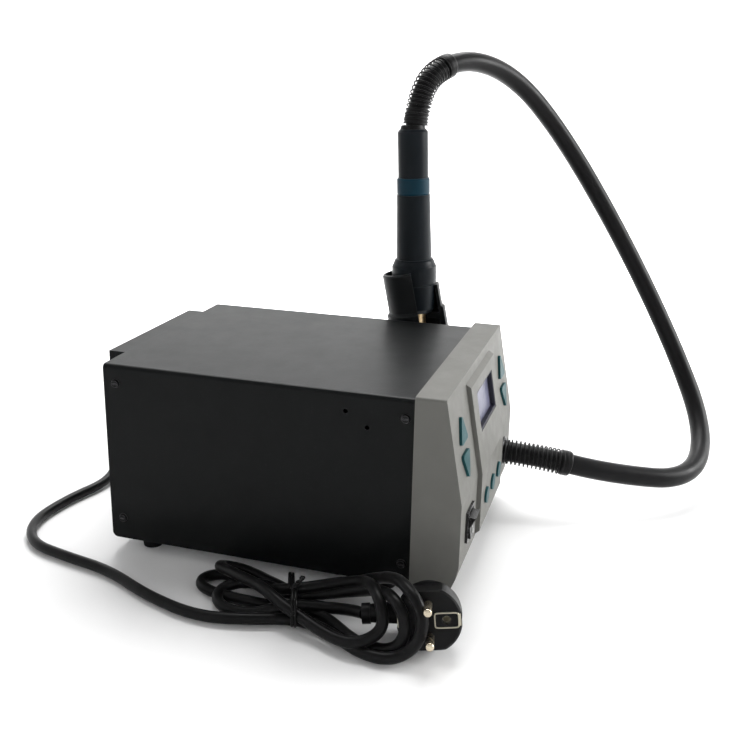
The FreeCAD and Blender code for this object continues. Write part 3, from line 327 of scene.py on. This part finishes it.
def finish_piece(obj, slot, body="root", material=None):
    paint(obj, material or looks[slot])
    if body:
        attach(obj, body)
    return obj


def mesh_piece(name, bm, smooth=True):
    bmesh.ops.recalc_face_normals(bm, faces=bm.faces)
    mesh = bpy.data.meshes.new(name)
    bm.to_mesh(mesh)
    bm.free()
    for face in mesh.polygons:
        face.use_smooth = smooth
    obj = bpy.data.objects.new(name, mesh)
    bpy.context.scene.collection.objects.link(obj)
    return obj


# ------------------------------------------------------------------ cords
def spline_curve(name, points, radius=0.0, resolution=10, rings=6):
    """One smooth open spline whose control points are given in millimetres."""
    data = bpy.data.curves.new(name, "CURVE")
    data.dimensions = "3D"
    data.resolution_u = resolution
    data.bevel_depth = radius
    data.bevel_resolution = rings
    data.use_fill_caps = radius > 0
    spline = data.splines.new("NURBS")
    spline.points.add(len(points) - 1)
    for point, (x, y, z) in zip(spline.points, points):
        point.co = (x / 1000, y / 1000, z / 1000, 1)
    spline.order_u = 3
    spline.use_endpoint_u = True
    obj = bpy.data.objects.new(name, data)
    bpy.context.scene.collection.objects.link(obj)
    return obj


def centreline(name, points, resolution=12):
    """Points along the spline, evenly spaced."""
    guide = spline_curve(name, points, resolution=resolution)
    mesh = bpy.data.meshes.new_from_object(guide)
    line = [v.co.copy() for v in mesh.vertices]
    bpy.data.meshes.remove(mesh)
    bpy.data.objects.remove(guide)
    return line


def along(line, step):
    """The line again, at equal steps."""
    out = [line[0].copy()]
    left = step
    for a, b in zip(line, line[1:]):
        run = (b - a).length
        while run > 0 and left <= run:
            out.append(a.lerp(b, left / run))
            left += step
        left -= run
    if (out[-1] - line[-1]).length > step * 0.3:
        out.append(line[-1].copy())
    return out


def frames_along(line):
    """A tangent and two square directions at each point, turning as little as they can."""
    tangents = []
    for i in range(len(line)):
        a = line[max(0, i - 1)]
        b = line[min(len(line) - 1, i + 1)]
        tangents.append((b - a).normalized())
    side = tangents[0].orthogonal().normalized()
    found = []
    for t in tangents:
        side = (side - t * side.dot(t)).normalized()
        found.append((t, side, t.cross(side)))
    return found


def sweep(bm, line, radii, segments=20, caps=True):
    """A round tube along the line; radii is one number for each point."""
    rings = []
    for point, (_, side, up), radius in zip(line, frames_along(line), radii):
        ring = []
        for i in range(segments):
            a = 2 * math.pi * i / segments
            ring.append(bm.verts.new(point + (side * math.cos(a) + up * math.sin(a)) * radius))
        rings.append(ring)
    for a, b in zip(rings, rings[1:]):
        for i in range(segments):
            j = (i + 1) % segments
            bm.faces.new((a[i], a[j], b[j], b[i]))
    if caps:
        bm.faces.new(rings[0][::-1])
        bm.faces.new(rings[-1])
    return rings


hose_route = [(64, -110, 48.5), (64, -149.5, 47), (81, -200.5, 33.5), (116.5, -260.5, 21.5),
              (184.5, -269, 39.5), (225.5, -236.5, 101), (243.5, -186.5, 184.5), (240, -132, 267.5),
              (209, -91.5, 318), (159, -56, 331.5), (121.3, -29.4, 306), (121.3, -31.8, 247)]
hose_diameter = 0.015
hose_line = along(centreline("hose_guide", hose_route), 0.003)


def hose():
    bm = bmesh.new()
    radius = hose_diameter / 2
    sweep(bm, hose_line, [radius] * len(hose_line), 28)
    return mesh_piece("hose", bm)


hose_piece = hose()
paint(hose_piece, looks["hose_rubber"])
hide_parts("air_hose")
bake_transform(hose_piece)


def coil_guard(name, node, line, turns, boot, cuff, body):
    """Wire spring round the hose, with a ridged boot where it starts and a short cuff where it ends."""
    wire = 0.0006
    wire_gap = 0.0009
    turn_steps = 22
    ring_steps = 28
    coil_radius = hose_diameter / 2 + wire_gap + wire
    boot_out = hose_diameter / 2 + 0.0019
    bm = bmesh.new()
    frames = frames_along(line)
    steps = turns * turn_steps
    last = len(line) - 1
    coil = []
    for i in range(steps + 1):
        where = last * (0.05 + 0.9 * i / steps)
        k = min(int(where), last - 1)
        centre = line[k].lerp(line[k + 1], where - k)
        _, side, up = frames[k]
        angle = math.tau * i / turn_steps
        coil.append(centre + (side * math.cos(angle) + up * math.sin(angle)) * coil_radius)
    sweep(bm, coil, [wire] * len(coil), 8)
    ridged = [boot_out - 0.0009 * i / boot + 0.0004 * math.cos(math.tau * i / 5) for i in range(boot)]
    sweep(bm, line[:boot], ridged, ring_steps)
    rounded = [boot_out - 0.0007 * (abs(2 * i / (cuff - 1) - 1)) ** 6 for i in range(cuff)]
    sweep(bm, line[-cuff:], rounded, ring_steps)
    piece = mesh_piece(name, bm)
    finish_piece(piece, "hose_rubber", body)
    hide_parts(node)


fine_line = along(centreline("guard_guide", hose_route, 40), 0.0005)
face_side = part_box("outlet_spring")[1][1]
handle_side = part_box("handle_spring")[0][2]
beside_handle = 0.13
outlet_start = [i for i, p in enumerate(fine_line) if p.y < face_side][0]
handle_start = [i for i, p in enumerate(fine_line) if p.z > handle_side and p.x < beside_handle][-1]
outlet_points = 98
handle_points = 120
outlet_stretch = fine_line[outlet_start:outlet_start + outlet_points]
handle_stretch = fine_line[handle_start - handle_points + 1:handle_start + 1][::-1]
coil_guard("outlet_coil", "outlet_spring", outlet_stretch, 14, 6, 16, "root")
coil_guard("handle_coil", "handle_spring", handle_stretch, 17, 22, 16, "handle")

# The mains cord: out of the rear, along the bench, three turns tied in the middle, then the plug. The
# turns' points follow the strands as they lie in the photograph, so each turn has its own size.
cord_run = [(55, 123.5, 30), (55, 156, 30), (48, 178, 19), (27, 187, 9), (0, 180, 4.4), (-38, 192, 4.2),
            (-80, 195, 4.2), (-109, 176, 4.2), (-118, 141, 4.2), (-125, 104, 4.2), (-145, 66, 4.2),
            (-157, 26, 4.2), (-152, -4, 5.2)]
outer_front = [(-142.5, -28, 5.0), (-142, -42, 4.4), (-146, -54, 4.4), (-153, -66, 4.4), (-160, -77, 4.4),
               (-163, -88, 4.4), (-163, -97, 4.8), (-161, -104, 6.8), (-158.5, -110, 11.5),
               (-156.8, -113.9, 18.6), (-154.5, -114.5, 27), (-152, -112, 34), (-148, -106.5, 39.5),
               (-138, -97, 41), (-125.5, -87, 35), (-113.5, -77, 26), (-105.5, -67, 19), (-103, -57, 13.5),
               (-106, -46, 9.5), (-113, -36, 7)]
top_rear = [(-120, -27, 6.5), (-113, -14, 7.5), (-104, 0, 5.2), (-96, 15, 4.2), (-93.5, 27, 4.6),
            (-97.5, 35, 6.5), (-106, 34, 10.5), (-114, 24, 13.5), (-122, 11, 15.5), (-130, -4, 17),
            (-138.5, -17, 16.5)]
inner_front = [(-145, -28, 14.2), (-147.5, -38, 11.5), (-151, -47, 9.5), (-155.5, -57, 8.4),
               (-159.5, -67.5, 8.2), (-160.5, -76.5, 9.2), (-158, -84, 11.5), (-154, -89.5, 15.5),
               (-151.5, -91, 22), (-146.5, -87.5, 29.5), (-135, -80, 32.5), (-123, -72, 28),
               (-116.5, -62, 22.5), (-117.5, -51, 20), (-124, -41, 19.5)]
left_rear = [(-130, -28, 18.5), (-124, -15, 12), (-115, -2, 6), (-108, 12, 4.4), (-104, 25, 4.4),
             (-106.5, 36, 4.4), (-114, 42, 4.4), (-123, 39, 4.4), (-128, 29, 4.4), (-130.5, 14, 4.6),
             (-132, -4, 5)]
middle_front = [(-133, -27, 5.2), (-131, -39, 5.2), (-133, -49, 4.8), (-139, -58, 4.4), (-147, -68, 4.4),
                (-152.5, -77, 4.4), (-155, -86, 4.6), (-155.8, -94, 5.4), (-156, -100.5, 9.2),
                (-155.3, -104, 15.5), (-154.5, -104.5, 23.5), (-152, -101.5, 30.5), (-146.5, -95, 34),
                (-136.5, -87.5, 31), (-127, -78, 25.5), (-121, -67, 19.5), (-120, -54, 15.5),
                (-123, -41, 13)]
low_rear = [(-127, -28, 12), (-121, -14, 10.5), (-117, 0, 9.5), (-118, 13, 9), (-125, 22, 7.5),
            (-134, 23, 5.6), (-142, 16, 4.8), (-146, 4, 4.8), (-145, -10, 6.5)]
to_plug = [(-138.5, -25, 11), (-132, -38, 9.8), (-128.5, -50, 8.8), (-130.5, -61, 11), (-135, -69.5, 14),
           (-138.2, -75, 15.4)]
hank = outer_front + top_rear + inner_front + left_rear + middle_front + low_rear
cord_points = cord_run + hank + to_plug
cord_diameter = 0.0072
cord_line = centreline("cord_guide", cord_points)


def twist_tie():
    """Thin wire tie: twice round the seven strands, its two ends twisted together and bent over."""
    bm = bmesh.new()
    wraps = []
    for i in range(97):
        angle = math.tau * (0.28 + 2.0 * i / 96)
        c, d = math.cos(angle), math.sin(angle)
        x = -0.1322 + 0.0190 * math.copysign(abs(c) ** 0.72, c)
        z = 0.0124 + 0.0112 * math.copysign(abs(d) ** 0.72, d)
        y = -0.028 + 0.384 * (x + 0.132) - 0.0018 + 0.0040 * i / 96
        wraps.append(Vector((x, y, z)))
    sweep(bm, wraps, [0.0010] * len(wraps), 10)
    knot = wraps[0].lerp(wraps[-1], 0.5)
    for turn in (0, math.pi):
        tail = []
        for i in range(40):
            share = i / 39
            lean = 1.9 * share * share
            rise = 0.0075 * math.sin(min(lean, 1.4)) + 0.001 * share
            centre = knot + Vector((0, -0.0065 * math.sin(lean), rise))
            spin = turn + math.tau * 2.2 * share
            tail.append(centre + Vector((0.0009 * math.cos(spin), 0.0009 * math.sin(spin), 0)))
        sweep(bm, tail, [0.00085] * len(tail), 8)
    piece = mesh_piece("twist_tie", bm)
    finish_piece(piece, "tie_black")
    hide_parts("cord_tie")


twist_tie()


def earth_clip():
    """Thin bright frame round the earth hole in the plug's face."""
    turn, tilt, drop = (math.radians(v) for v in (192, 15, 6))
    normal = Vector((math.cos(turn) * math.cos(tilt), math.sin(turn) * math.cos(tilt), math.sin(tilt)))
    side = normal.cross(Vector((0, 0, 1))).normalized()
    neck = side * math.cos(drop) - side.cross(normal) * math.sin(drop)
    third = normal.cross(neck)
    middle = Vector((-0.1458, -0.1162, 0.0231)) + normal * 0.0002
    bm = bmesh.new()
    line = []
    for i in range(64):
        angle = math.tau * i / 64
        c, d = math.cos(angle), math.sin(angle)
        along_neck = -0.0100 + 0.0068 * math.copysign(abs(c) ** 0.25, c)
        across = 0.0042 * math.copysign(abs(d) ** 0.25, d)
        line.append(middle + neck * along_neck + third * across)
    sweep(bm, line + line[:1], [0.0005] * 65, 8, False)
    piece = mesh_piece("earth_clip", bm)
    finish_piece(piece, "contact_brass")


earth_clip()
mains = spline_curve("mains_cable", cord_points, cord_diameter / 2, 8, 5)
finish_piece(mains, "cord_black")
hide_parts("mains_cord", "cord_hank")


# ------------------------------------------------------------------ details on the front
def flat_side(name):
    """Middle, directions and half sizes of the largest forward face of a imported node."""
    mesh = nodes[name].data
    groups = {}
    for face in mesh.polygons:
        if face.normal.y < -0.4:
            key = tuple(round(v, 2) for v in face.normal)
            groups.setdefault(key, []).append(face)
    best = max(groups.values(), key=lambda faces: sum(f.area for f in faces))
    normal = best[0].normal.copy()
    across = Vector((1, 0, 0))
    upward = across.cross(normal) * -1
    if upward.z < 0:
        upward = -upward
    points = [mesh.vertices[i].co for f in best for i in f.vertices]
    spans = []
    for axis in (across, upward):
        values = [p.dot(axis) for p in points]
        spans.append(((min(values) + max(values)) / 2, (max(values) - min(values)) / 2))
    middle = across * spans[0][0] + upward * spans[1][0] + normal * points[0].dot(normal)
    return middle, across, upward, normal, spans[0][1], spans[1][1]


def display_shade_rim():
    """Dark rim that lines the display's recess, sloping in towards the glass; its near-black colour is
    painted shade for the recess walls.
    """
    middle, across, upward, normal, half_wide, half_tall = flat_side("display_window")
    bm = bmesh.new()
    loops = []
    rim = ((0.0001, 0.0004), (0.0001, 0.0032), (0.0006, 0.0034), (0.0013, 0.0030), (0.0018, 0.0004))
    for inset, height in rim:
        ring = []
        for sx, sy in ((-1, -1), (1, -1), (1, 1), (-1, 1)):
            corner = middle + across * sx * (half_wide - inset) + upward * sy * (half_tall - inset)
            ring.append(bm.verts.new(corner + normal * height))
        loops.append(ring)
    for a, b in zip(loops, loops[1:] + loops[:1]):
        for i in range(4):
            j = (i + 1) % 4
            bm.faces.new((a[i], a[j], b[j], b[i]))
    piece = mesh_piece("display_shade_rim", bm, False)
    # the rim gets the near-black look, which is painted shade in the recess
    finish_piece(piece, "switch_black", "root", looks["painted_shade_liner"])


display_shade_rim()


def rocker_marks():
    """A short bar on the rocker's upper half and a ring on its lower half, just proud of it."""
    mesh = nodes["power_rocker"].data
    groups = {}
    for face in mesh.polygons:
        if face.normal.y < -0.3:
            groups.setdefault(tuple(round(v, 1) for v in face.normal), []).append(face)
    halves = sorted(groups.values(), key=lambda faces: sum(f.area for f in faces))[-2:]
    mean_height = sum(v.co.z for v in mesh.vertices) / len(mesh.vertices)
    bm = bmesh.new()
    for faces in halves:
        normal = faces[0].normal.copy()
        points = [mesh.vertices[i].co for f in faces for i in f.vertices]
        middle = sum((f.center * f.area for f in faces), Vector()) / sum(f.area for f in faces)
        across = Vector((1, 0, 0))
        upward = normal.cross(across)
        if upward.z < 0:
            upward = -upward
        base = middle + normal * 0.00005
        if middle.z > mean_height:
            line = [base + upward * (0.0021 * (i / 6 - 1)) for i in range(13)]
            sweep(bm, line, [0.00042] * 13, 10)
        else:
            angles = [math.tau * i / 48 for i in range(48)]
            line = [base + across * 0.0017 * math.cos(a) + upward * 0.0021 * math.sin(a) for a in angles]
            sweep(bm, line + line[:1], [0.00034] * 49, 10, False)
    piece = mesh_piece("rocker_marks", bm)
    finish_piece(piece, "switch_black", "rocker", looks["print_white"])


rocker_marks()


# ------------------------------------------------------------------ floor, backdrop and light
def studio():
    bm = bmesh.new()
    around = 72
    rings = []
    for radius, height in ((0, 0), (1.9, 0), (2.3, 0.06), (2.6, 0.25), (2.8, 0.6), (2.85, 1.4), (2.85, 2.6)):
        steps = 1 if radius == 0 else around
        ring = []
        for i in range(steps):
            angle = math.tau * i / steps
            ring.append(bm.verts.new((radius * math.cos(angle), radius * math.sin(angle), height)))
        rings.append(ring)
    for a, b in zip(rings, rings[1:]):
        for i in range(around):
            j = (i + 1) % around
            if len(a) == 1:
                bm.faces.new((a[0], b[i], b[j]))
            else:
                bm.faces.new((a[i], a[j], b[j], b[i]))
    floor = mesh_piece("floor", bm)
    g = Graph("floor_pale")
    shade = g.ramp(g.noise(3, 3), [(0.3, (0.80, 0.80, 0.80)), (0.7, (0.84, 0.84, 0.84))])
    g.link(shade, g.shader.inputs["Base Color"])
    g.link(g.span(g.noise(40, 3), 0.55, 0.65), g.shader.inputs["Roughness"])
    g.shader.inputs["Specular IOR Level"].default_value = 0.1
    paint(floor, g.material)
    world = bpy.data.worlds.new("world")
    world.use_nodes = True
    world.node_tree.nodes["Background"].inputs[0].default_value = (1, 1, 1, 1)
    world.node_tree.nodes["Background"].inputs[1].default_value = 0.36
    bpy.context.scene.world = world

    def lamp(name, place, target, size, power):
        data = bpy.data.lights.new(name, "AREA")
        data.size = size
        data.energy = power
        obj = bpy.data.objects.new(name, data)
        bpy.context.scene.collection.objects.link(obj)
        obj.location = place
        obj.rotation_mode = "QUATERNION"
        obj.rotation_quaternion = (Vector(target) - Vector(place)).to_track_quat("-Z", "Y")

    lamp("key", (0.75, -1.7, 0.75), (0, 0, 0.05), 0.8, 36)
    lamp("top", (1.0, 0.3, 1.8), (0, 0, 0.1), 1.4, 52)
    lamp("back_wall", (0.6, -0.3, 0.9), (2.8, 0.2, 0.5), 1.6, 60)
    bpy.context.scene.view_settings.view_transform = "Standard"


studio()
